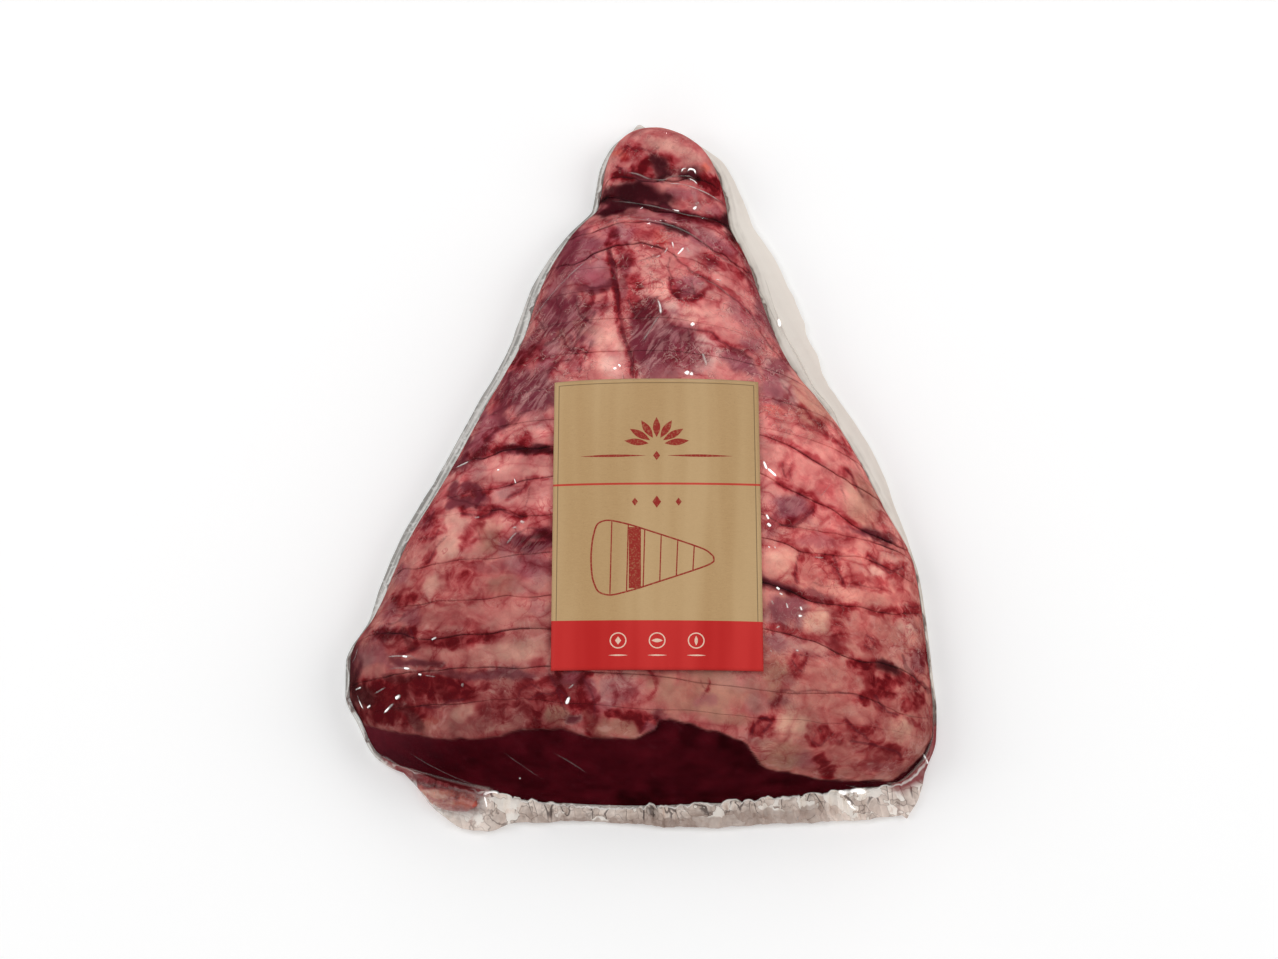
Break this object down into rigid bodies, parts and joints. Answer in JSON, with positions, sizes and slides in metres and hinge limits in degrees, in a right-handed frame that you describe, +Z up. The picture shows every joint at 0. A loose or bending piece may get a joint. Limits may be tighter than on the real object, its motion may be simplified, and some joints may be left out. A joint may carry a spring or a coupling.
{
  "type": "vacuum packed sliced beef rump cap",
  "caption": "Whole raw beef rump cap, cut in slices that keep its triangular shape, fat side up in a clear vacuum pouch with a paper label stuck on top.",
  "frame": {"origin": "middle of the bounding box, on the flat underside that the pack lies on", "axes": "+Y from the thick end to the narrow tip, +X to the right with the tip pointing away, +Z up through the fat cap"},
  "size_m": [0.219, 0.288, 0.0468],
  "materials": {
    "wrapped_meat": "raw beef with a pink fat cap under clear, shiny vacuum film",
    "kraft_label": "brown kraft paper printed in red, with a red band along one end"
  },
  "bodies": {
    "root": {"pouch": "wrapped_meat", "label": "kraft_label"}
  },
  "joints": []
}
